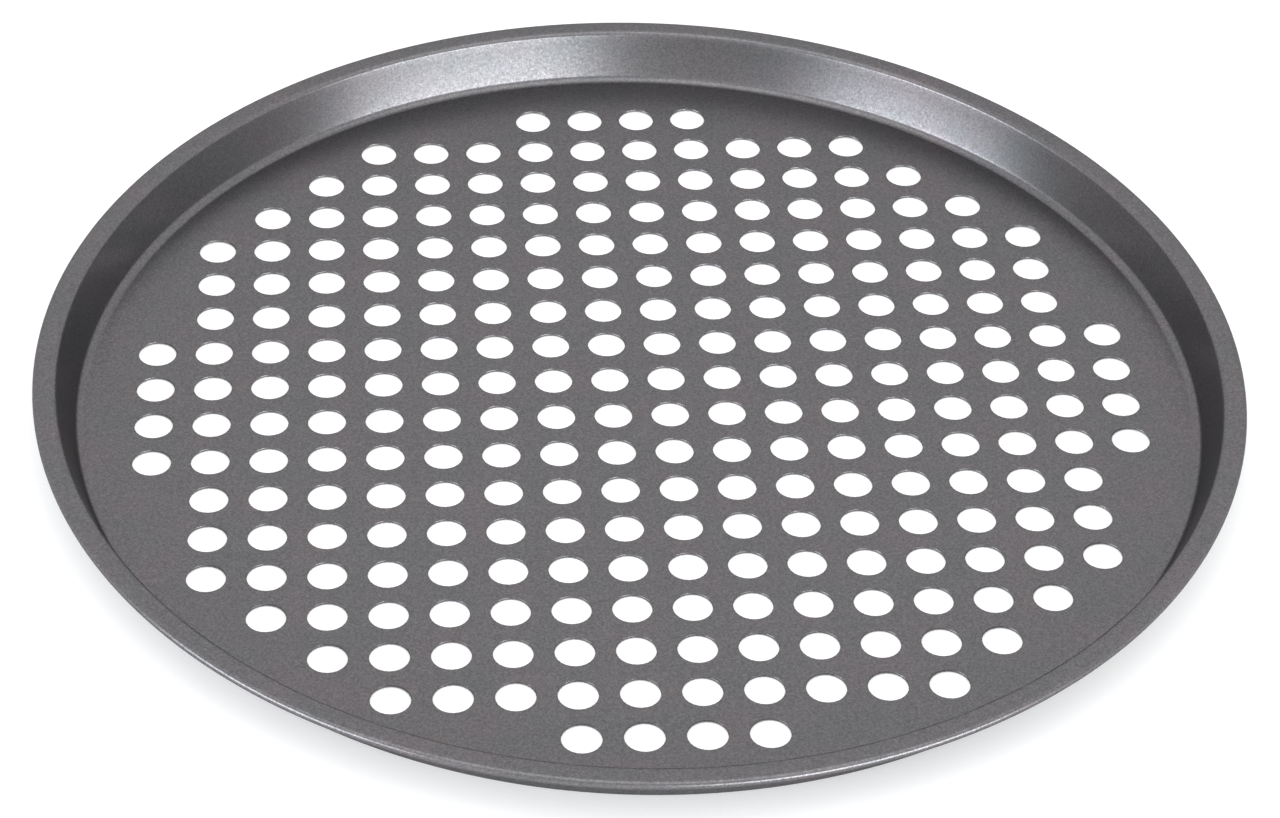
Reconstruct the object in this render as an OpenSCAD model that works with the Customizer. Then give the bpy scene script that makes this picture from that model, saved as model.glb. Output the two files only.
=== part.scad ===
// Perforated pizza pan, drawn from one round blank of coated sheet steel.
// The origin is the centre of the underside, and +Z points up, out of the pan. Lengths are millimetres.

/* [Sheet] */
// Thickness of the coated sheet
sheet_t = 0.6; // [0.4:0.05:0.9]

/* [Rim] */
// Diameter over the rolled rim
rim_d = 316; // [260:2:400]
// Width of the flange, from where the shoulder ends to the outside of the rolled edge
flange_w = 4.5; // [3:0.1:10]
// Height of the rolled edge, measured outside
roll_h = 2.6; // [2.3:0.1:3.2]
// How far the edge is rolled round, in degrees
roll_turn = 265; // [180:5:280]
// Outside radius of the shoulder between the wall and the flange
shoulder_r = 1.8; // [1.2:0.1:2.6]

/* [Wall] */
// Depth of the pan inside, from the floor to the top of the flange
depth = 14.5; // [10:0.5:30]
// Lean of the wall away from upright at half its height, in degrees
wall_lean = 18; // [6:1:35]
// How far the wall's slight curve turns it upright from its foot to its top, in degrees
wall_turn = 4; // [1:0.5:8]
// Inside radius where the floor turns up into the wall
floor_r = 2.5; // [1.5:0.5:5]

/* [Perforation] */
// Diameter of each vent hole
hole_d = 10; // [6:0.5:12]
// Distance between the centres of neighbouring holes, the same both ways
hole_pitch = 15; // [13:0.5:24]
// Plain margin from the start of the floor's turn-up to the outermost hole centres
field_margin = 13.7; // [9:0.1:20]

/* [Hidden] */

// Turning steps of the round pan and of one vent hole
$fn = 240;
hole_fn = 48;
// Largest turn and largest length between two points of an arc in the section
arc_step = 9;
arc_length = 3;

rim_r = rim_d / 2;
roll_r = roll_h / 2;
height = sheet_t + depth;
foot_lean = wall_lean + wall_turn / 2;
top_lean = wall_lean - wall_turn / 2;
// Radius of the wall's curve, which fills the height between the turn-up and the shoulder
wall_r = (depth - floor_r * (1 - sin(foot_lean)) - shoulder_r * (1 - sin(top_lean)))
    / (sin(foot_lean) - sin(top_lean));
// The flat flange starts and the flat floor ends at these distances from the axis
flange_start_r = rim_r - flange_w;
floor_flat_r = flange_start_r - shoulder_r * cos(top_lean)
    - wall_r * (cos(top_lean) - cos(foot_lean)) - floor_r * cos(foot_lean);
turn_up_centre = [floor_flat_r, sheet_t + floor_r];
wall_centre = turn_up_centre - (wall_r - floor_r) * [cos(foot_lean), -sin(foot_lean)];
// Every hole whose centre lies in this circle is punched
field_r = floor_flat_r - field_margin;

// Points along an arc: centre, radius, first and last angle
function arc(c, r, from, to) =
    let (turn = abs(to - from), n = ceil(max(turn / arc_step, turn * PI / 180 * r / arc_length)))
    [for (i = [0 : n]) let (a = from + (to - from) * i / n) c + r * [cos(a), sin(a)]];

function without_ends(points) = [for (i = [1 : len(points) - 2]) points[i]];

// One face of the bent sheet, from the end of the flat floor to the end of the rolled edge.
// The upper face is 0 below the sheet's top, and the lower face is the sheet's thickness below it.
// The wall runs smoothly into both bends, so their points are its ends too.
function sheet_face(below) = concat(
    arc(turn_up_centre, floor_r + below, -90, -foot_lean),
    without_ends(arc(wall_centre, wall_r + below, -foot_lean, -top_lean)),
    arc([flange_start_r, height - shoulder_r], shoulder_r - below, 180 - top_lean, 90),
    arc([rim_r - roll_r, height - roll_r], roll_r - below, 90, 90 - roll_turn)
);

function reversed(points) = [for (i = [len(points) - 1 : -1 : 0]) points[i]];

// Turn-up, leaning wall, shoulder, flange and rolled edge, as one bent strip turned round the axis
module wall_and_rim() {
    rotate_extrude()
        polygon(concat(sheet_face(0), reversed(sheet_face(sheet_t))));
}

// Flat floor with a square grid of vent holes, which straddles both centre lines and ends at a circle
module punched_floor() {
    half_count = ceil(field_r / hole_pitch);
    centres = [for (i = [-half_count : half_count - 1]) (i + 0.5) * hole_pitch];
    linear_extrude(sheet_t)
        difference() {
            circle(r = floor_flat_r);
            for (x = centres, y = centres)
                if (norm([x, y]) <= field_r)
                    translate([x, y])
                        circle(d = hole_d, $fn = hole_fn);
        }
}

module pan() {
    color([0.43, 0.42, 0.43])
        union() {
            punched_floor();
            wall_and_rim();
        }
}

pan();
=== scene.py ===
import math

import bmesh
import bpy
from mathutils import Matrix, Vector


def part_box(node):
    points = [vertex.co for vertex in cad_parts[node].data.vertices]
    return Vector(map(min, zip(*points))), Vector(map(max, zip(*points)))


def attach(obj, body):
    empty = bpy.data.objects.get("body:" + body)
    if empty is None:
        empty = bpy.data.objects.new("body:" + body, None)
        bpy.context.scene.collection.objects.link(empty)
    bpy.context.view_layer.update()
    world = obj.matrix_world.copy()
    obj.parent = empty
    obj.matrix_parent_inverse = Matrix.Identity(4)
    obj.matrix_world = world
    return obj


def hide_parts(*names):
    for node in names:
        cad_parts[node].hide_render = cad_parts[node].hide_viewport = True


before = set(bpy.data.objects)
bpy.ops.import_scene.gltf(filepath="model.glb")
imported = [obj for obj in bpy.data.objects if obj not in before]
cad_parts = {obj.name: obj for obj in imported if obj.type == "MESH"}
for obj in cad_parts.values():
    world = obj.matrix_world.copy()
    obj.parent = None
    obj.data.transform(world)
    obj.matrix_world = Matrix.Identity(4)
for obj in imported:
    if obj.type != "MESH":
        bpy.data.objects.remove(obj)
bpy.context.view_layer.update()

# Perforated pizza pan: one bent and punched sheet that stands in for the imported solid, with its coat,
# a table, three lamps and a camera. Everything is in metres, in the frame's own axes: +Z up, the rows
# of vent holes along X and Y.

MM = 0.001
pan_low, pan_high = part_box("pan")

# Sizes of the pressed sheet, as the part has them
SHEET_T = 0.6 * MM
FLANGE_W = 4.5 * MM
ROLL_R = 1.3 * MM
ROLL_TURN = math.radians(265)
SHOULDER_R = 1.8 * MM
WALL_FOOT_LEAN = math.radians(20)
WALL_TOP_LEAN = math.radians(16)
TURN_UP_R = 2.5 * MM
HOLE_R = 5 * MM
HOLE_PITCH = 15 * MM
FIELD_MARGIN = 13.7 * MM

# Places that follow from them and from the frame
rim_r = min(pan_high.x - pan_low.x, pan_high.y - pan_low.y) / 2
height = pan_high.z - pan_low.z
turn_up_z = SHEET_T + TURN_UP_R
shoulder_z = height - SHOULDER_R
foot_x, foot_z = math.cos(WALL_FOOT_LEAN), math.sin(WALL_FOOT_LEAN)
top_x, top_z = math.cos(WALL_TOP_LEAN), math.sin(WALL_TOP_LEAN)
# The wall's own slight curve fills the height between the two bends, at any depth
wall_r = (shoulder_z + SHOULDER_R * top_z - turn_up_z + TURN_UP_R * foot_z) / (foot_z - top_z)
flange_start_r = rim_r - FLANGE_W
floor_flat_r = flange_start_r - SHOULDER_R * top_x - wall_r * (top_x - foot_x) - TURN_UP_R * foot_x
wall_centre_r = floor_flat_r - (wall_r - TURN_UP_R) * foot_x
wall_centre_z = turn_up_z + (wall_r - TURN_UP_R) * foot_z
field_r = floor_flat_r - FIELD_MARGIN

# The small bevel round the top of each hole, which only the scene has, and the steps of the arcs
HOLE_BEVEL = 0.14 * MM
BEND_STEPS = 16
WALL_STEPS = 6
ROLL_STEPS = 24
BODY_TURNS = 240
HOLE_STEPS = 24
# The turned body reaches this far over the flat floor, so that the turn-up meets the floor smoothly
FLAT_LAP = 0.8 * MM
# Two points closer than this are one
NEAR = 0.001 * MM
# Towards the wall the pressed floor lifts a little, between these distances from the pan's axis
LIFT_START_R = 126 * MM
LIFT_END_R = 152 * MM
LIFT_H = 0.6 * MM


def section_line(bm, vert, radius, z):
    """Draws one straight stretch of a section, and returns its far end."""
    end = bmesh.ops.extrude_vert_indiv(bm, verts=[vert])["verts"][0]
    end.co = (radius, 0, z)
    return end


def section_arc(bm, vert, radius, z, turn, steps):
    """Draws an arc of a section about a centre, with a positive turn from +X towards +Z."""
    spun = bmesh.ops.spin(bm, geom=[vert], cent=(radius, 0, z), axis=(0, -1, 0), dvec=(0, 0, 0),
                          angle=turn, steps=steps, use_merge=False, use_duplicate=False)
    return next(g for g in spun["geom_last"] if isinstance(g, bmesh.types.BMVert))


def sheet_face(bm, below):
    """Draws one face of the bent sheet, from the flat floor to the roll's end, and returns that end."""
    top = SHEET_T - below
    pen = bm.verts.new((floor_flat_r - FLAT_LAP, 0, top))
    pen = section_line(bm, pen, floor_flat_r, top)
    pen = section_arc(bm, pen, floor_flat_r, turn_up_z, math.pi / 2 - WALL_FOOT_LEAN, BEND_STEPS)
    pen = section_arc(bm, pen, wall_centre_r, wall_centre_z, WALL_FOOT_LEAN - WALL_TOP_LEAN, WALL_STEPS)
    pen = section_arc(bm, pen, flange_start_r, shoulder_z, WALL_TOP_LEAN - math.pi / 2, BEND_STEPS)
    pen = section_line(bm, pen, rim_r - ROLL_R, height - below)
    return section_arc(bm, pen, rim_r - ROLL_R, height - ROLL_R, -ROLL_TURN, ROLL_STEPS)


def turn_about_z(bm, steps):
    """Turns everything drawn so far once round the Z axis, into closed walls."""
    bmesh.ops.spin(bm, geom=bm.verts[:] + bm.edges[:], cent=(0, 0, 0), axis=(0, 0, 1), dvec=(0, 0, 0),
                   angle=math.tau, steps=steps, use_merge=True, use_duplicate=False)


def flat_quarters(bm, z):
    """Lays four flat faces round the hole at one height, out to the corners of its square."""
    half = HOLE_PITCH / 2
    corners = [bm.verts.new((x * half, y * half, z)) for x, y in ((1, 1), (-1, 1), (-1, -1), (1, -1))]
    edge = [v for v in bm.verts if abs(v.co.z - z) < NEAR and v not in corners]
    edge.sort(key=lambda v: round(math.degrees(math.atan2(v.co.y, v.co.x))) % 360)
    quarter = HOLE_STEPS // 4
    for side in range(4):
        first = quarter // 2 + side * quarter
        arc = [edge[i % HOLE_STEPS] for i in range(first, first + quarter + 1)]
        bm.faces.new([corners[side], corners[(side + 1) % 4]] + arc[::-1])
    # The shading is smooth everywhere but here, where the hole's edge stays crisp
    for pair in zip(edge, edge[1:] + edge[:1]):
        bm.edges.get(pair).smooth = False


def floor_square():
    """One square of the floor about the Z axis, with its vent hole, bevelled at the top."""
    bm = bmesh.new()
    pen = bm.verts.new((HOLE_R + HOLE_BEVEL, 0, SHEET_T))
    pen = section_line(bm, pen, HOLE_R, SHEET_T - HOLE_BEVEL)
    section_line(bm, pen, HOLE_R, 0)
    turn_about_z(bm, HOLE_STEPS)
    flat_quarters(bm, SHEET_T)
    flat_quarters(bm, 0)
    mesh = bpy.data.meshes.new("floor_square")
    bm.to_mesh(mesh)
    bm.free()
    return mesh


def hole_centres():
    """The places of a square grid astride both centre lines that lie within the field's circle."""
    count = math.ceil(field_r / HOLE_PITCH)
    places = [(i + 0.5) * HOLE_PITCH for i in range(-count, count)]
    return [(x, y) for y in places for x in places if math.hypot(x, y) <= field_r]


def lay_squares(bm):
    """Lays a punched square at every place of the field; their shared edges are merged later."""
    square = floor_square()
    for x, y in hole_centres():
        placed = square.copy()
        placed.transform(Matrix.Translation((x, y, 0)))
        bm.from_mesh(placed)
        bpy.data.meshes.remove(placed)
    bpy.data.meshes.remove(square)


def fill_margin(bm, z):
    """Fills the plain margin between the outermost squares and the turned body, at one height."""
    edges = [e for e in bm.edges if e.is_boundary and all(abs(v.co.z - z) < NEAR for v in e.verts)]
    bmesh.ops.triangle_fill(bm, use_beauty=True, edges=edges)


def lift_floor(bm):
    """Lifts the floor towards the wall in a soft S, which fades out up the wall and leaves the rim."""
    for vert in bm.verts:
        run = (vert.co.xy.length - LIFT_START_R) / (LIFT_END_R - LIFT_START_R)
        run = min(max(run, 0), 1)
        vert.co.z += LIFT_H * run * run * (3 - 2 * run) * (1 - vert.co.z / height)


def build_pan():
    """The whole pan as one closed sheet: bent wall and rim, punched squares, and the margin between."""
    bm = bmesh.new()
    roll_ends = [sheet_face(bm, below) for below in (0, SHEET_T)]
    bm.edges.new(roll_ends)
    turn_about_z(bm, BODY_TURNS)
    lay_squares(bm)
    bmesh.ops.remove_doubles(bm, verts=bm.verts[:], dist=NEAR)
    fill_margin(bm, SHEET_T)
    fill_margin(bm, 0)
    lift_floor(bm)
    bmesh.ops.recalc_face_normals(bm, faces=bm.faces[:])
    for face in bm.faces:
        face.smooth = True
    mesh = bpy.data.meshes.new("pan_body")
    bm.to_mesh(mesh)
    bm.free()
    pan = bpy.data.objects.new("pan_body", mesh)
    bpy.context.collection.objects.link(pan)
    return pan


# The coat: dark grey with a metallic body, in two shades that lie side by side in faint patches.
# A soft mottle and crisp flecks make it lighter and darker by these shares.
COAT_COOL = (0.148, 0.149, 0.155, 1)
COAT_WARM = (0.168, 0.153, 0.161, 1)
COAT_METALLIC = 0.9
# Below 1, this takes the shine off surfaces that are seen at a slant
COAT_SLANT_TINT = (0.45, 0.45, 0.45, 1)
COAT_ROUGH, COAT_SMOOTH = 0.34, 0.27
PATCHES_PER_M = 60
MOTTLE_DARK, MOTTLE_LIGHT = 0.86, 1.14
MOTTLE_PER_M = 1300
FLECK_DARK, FLECK_LIGHT = 0.8, 1.2
FLECKS_PER_M = 3200
RIPPLES_PER_M = 650
RIPPLE_DEPTH = 0.02 * MM
RIPPLE_STRENGTH = 0.3
# Nearly all of a cloudy pattern lies in this range
CLOUD_RANGE = (0.3, 0.7)


def new_material(name):
    """An empty node material, with its nodes and links."""
    material = bpy.data.materials.new(name)
    material.use_nodes = True
    material.node_tree.nodes.clear()
    return material, material.node_tree.nodes, material.node_tree.links


def noise(nodes, links, place, scale, detail, roughness):
    """A cloudy pattern with this many features to the metre, through the solid metal."""
    made = nodes.new("ShaderNodeTexNoise")
    made.inputs["Scale"].default_value = scale
    made.inputs["Detail"].default_value = detail
    made.inputs["Roughness"].default_value = roughness
    links.new(place.outputs["Object"], made.inputs["Vector"])
    return made.outputs["Fac"]


def metal_flecks(nodes, links, place, scale):
    """A crisp pattern of cells, each of one even value from 0 to 1."""
    cells = nodes.new("ShaderNodeTexVoronoi")
    cells.inputs["Scale"].default_value = scale
    links.new(place.outputs["Object"], cells.inputs["Vector"])
    value = nodes.new("ShaderNodeSeparateColor")
    links.new(cells.outputs["Color"], value.inputs["Color"])
    return value.outputs["Red"]


def spread(nodes, links, pattern, pattern_range, low, high):
    """Stretches a pattern, so that this range of it runs from low to high."""
    made = nodes.new("ShaderNodeMapRange")
    made.inputs["From Min"].default_value = pattern_range[0]
    made.inputs["From Max"].default_value = pattern_range[1]
    made.inputs["To Min"].default_value = low
    made.inputs["To Max"].default_value = high
    links.new(pattern, made.inputs["Value"])
    return made.outputs["Result"]


def coat_material():
    """Satin non-stick coat: fine metal flecks, faint patches, and a sprayed skin's slight ripple."""
    material, nodes, links = new_material("coated_steel")
    out = nodes.new("ShaderNodeOutputMaterial")
    shader = nodes.new("ShaderNodeBsdfPrincipled")
    links.new(shader.outputs["BSDF"], out.inputs["Surface"])
    shader.inputs["Metallic"].default_value = COAT_METALLIC
    shader.inputs["Specular Tint"].default_value = COAT_SLANT_TINT
    place = nodes.new("ShaderNodeTexCoord")
    patches = noise(nodes, links, place, PATCHES_PER_M, detail=4, roughness=0.55)
    mottle = noise(nodes, links, place, MOTTLE_PER_M, detail=3, roughness=0.6)
    flecks = metal_flecks(nodes, links, place, FLECKS_PER_M)
    ripples = noise(nodes, links, place, RIPPLES_PER_M, detail=2, roughness=0.5)

    shades = nodes.new("ShaderNodeMix")
    shades.data_type = "RGBA"
    shades.inputs["A"].default_value = COAT_COOL
    shades.inputs["B"].default_value = COAT_WARM
    links.new(spread(nodes, links, patches, CLOUD_RANGE, 0, 1), shades.inputs["Factor"])
    speckled = nodes.new("ShaderNodeVectorMath")
    speckled.operation = "SCALE"
    links.new(shades.outputs["Result"], speckled.inputs[0])
    grain = nodes.new("ShaderNodeMath")
    grain.operation = "MULTIPLY"
    links.new(spread(nodes, links, mottle, CLOUD_RANGE, MOTTLE_DARK, MOTTLE_LIGHT), grain.inputs[0])
    links.new(spread(nodes, links, flecks, (0, 1), FLECK_DARK, FLECK_LIGHT), grain.inputs[1])
    links.new(grain.outputs["Value"], speckled.inputs["Scale"])
    links.new(speckled.outputs["Vector"], shader.inputs["Base Color"])
    roughness = spread(nodes, links, mottle, CLOUD_RANGE, COAT_ROUGH, COAT_SMOOTH)
    links.new(roughness, shader.inputs["Roughness"])

    rippled = nodes.new("ShaderNodeBump")
    rippled.inputs["Strength"].default_value = RIPPLE_STRENGTH
    rippled.inputs["Distance"].default_value = RIPPLE_DEPTH
    links.new(ripples, rippled.inputs["Height"])
    links.new(rippled.outputs["Normal"], shader.inputs["Normal"])
    return material


# The table takes the pan's shadow, and a little light of its own makes it white to the eye and in gloss
TABLE_GREY = (0.7, 0.7, 0.7, 1)
TABLE_OWN_LIGHT = 0.35
TABLE_HALF_W = 6
TABLE_GAP = 0.2 * MM


def table_material():
    """Plain matt white, whose own light only the eye and gloss see."""
    material, nodes, links = new_material("table_white")
    out = nodes.new("ShaderNodeOutputMaterial")
    both = nodes.new("ShaderNodeAddShader")
    diffuse = nodes.new("ShaderNodeBsdfDiffuse")
    diffuse.inputs["Color"].default_value = TABLE_GREY
    own = nodes.new("ShaderNodeEmission")
    path = nodes.new("ShaderNodeLightPath")
    seen = path.outputs["Is Camera Ray"]
    for ray in ("Is Glossy Ray", "Is Transmission Ray"):
        either = nodes.new("ShaderNodeMath")
        either.operation = "MAXIMUM"
        links.new(seen, either.inputs[0])
        links.new(path.outputs[ray], either.inputs[1])
        seen = either.outputs["Value"]
    light = nodes.new("ShaderNodeMath")
    light.operation = "MULTIPLY"
    light.inputs[1].default_value = TABLE_OWN_LIGHT
    links.new(seen, light.inputs[0])
    links.new(light.outputs["Value"], own.inputs["Strength"])
    links.new(diffuse.outputs["BSDF"], both.inputs[0])
    links.new(own.outputs["Emission"], both.inputs[1])
    links.new(both.outputs["Shader"], out.inputs["Surface"])
    return material


def make_stage():
    """The table just below the pan, and an even white surround."""
    bm = bmesh.new()
    bmesh.ops.create_grid(bm, x_segments=1, y_segments=1, size=TABLE_HALF_W)
    bmesh.ops.translate(bm, vec=(0, 0, pan_low.z - TABLE_GAP), verts=bm.verts[:])
    mesh = bpy.data.meshes.new("table")
    bm.to_mesh(mesh)
    bm.free()
    mesh.materials.append(table_material())
    table = bpy.data.objects.new("table", mesh)
    bpy.context.collection.objects.link(table)

    world = bpy.data.worlds.new("surround")
    bpy.context.scene.world = world
    world.use_nodes = True
    background = world.node_tree.nodes["Background"]
    background.inputs["Color"].default_value = (1, 1, 1, 1)
    background.inputs["Strength"].default_value = 1


def softbox(name, azimuth, elevation, distance, width, tall, radiance, colour):
    """A soft rectangular lamp that faces the pan, and that only gloss and lit surfaces show."""
    lamp = bpy.data.lights.new(name, "AREA")
    lamp.color = colour
    lamp.shape = "RECTANGLE"
    lamp.size = width
    lamp.size_y = tall
    lamp.energy = radiance * math.pi * width * tall
    rig = bpy.data.objects.new(name, lamp)
    aim = (Matrix.Rotation(math.radians(azimuth), 4, "Z")
           @ Matrix.Rotation(math.radians(90 - elevation), 4, "X"))
    rig.matrix_world = aim @ Matrix.Translation((0, 0, distance))
    rig.visible_camera = False
    bpy.context.collection.objects.link(rig)


def make_lamps():
    """Two low softboxes whose gloss runs up the far wall, and a weak wide one overhead.
    Azimuths start at the pan's front and run to its right, in degrees. Lengths are in metres."""
    softbox("softbox_right", azimuth=32, elevation=10, distance=1.6, width=1.4, tall=0.55,
            radiance=8.1, colour=(0.945, 1, 1.015))
    softbox("softbox_left", azimuth=-61, elevation=12, distance=1.6, width=1.15, tall=0.55,
            radiance=7, colour=(0.93, 1, 1.05))
    softbox("softbox_top", azimuth=-5, elevation=76, distance=1.5, width=2.2, tall=1.2,
            radiance=0.95, colour=(0.97, 1, 1.03))


# The photograph's view: angles of the camera about the point that it faces, in degrees, and its lens
VIEW_AZIMUTH = -5.155
VIEW_ELEVATION = 39.352
VIEW_ROLL = 1.981
VIEW_AIM = Vector((-0.34 * MM, -5.24 * MM, SHEET_T))
VIEW_DISTANCE = 949.7 * MM
LENS = 101.42
SENSOR_W = 36


def make_camera():
    """The camera, at the angle of the photograph."""
    data = bpy.data.cameras.new("camera")
    data.sensor_width = SENSOR_W
    data.lens = LENS
    camera = bpy.data.objects.new("camera", data)
    turn = (Matrix.Rotation(math.radians(VIEW_AZIMUTH), 4, "Z")
            @ Matrix.Rotation(math.radians(90 - VIEW_ELEVATION), 4, "X")
            @ Matrix.Rotation(math.radians(VIEW_ROLL), 4, "Z"))
    back_off = Matrix.Translation((0, 0, VIEW_DISTANCE))
    camera.matrix_world = Matrix.Translation(VIEW_AIM) @ turn @ back_off
    bpy.context.collection.objects.link(camera)
    bpy.context.scene.camera = camera


make_camera()
make_stage()
make_lamps()

pan_body = build_pan()
pan_body.data.materials.append(coat_material())
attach(pan_body, "root")
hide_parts("pan")

bpy.context.scene.view_settings.view_transform = "Standard"
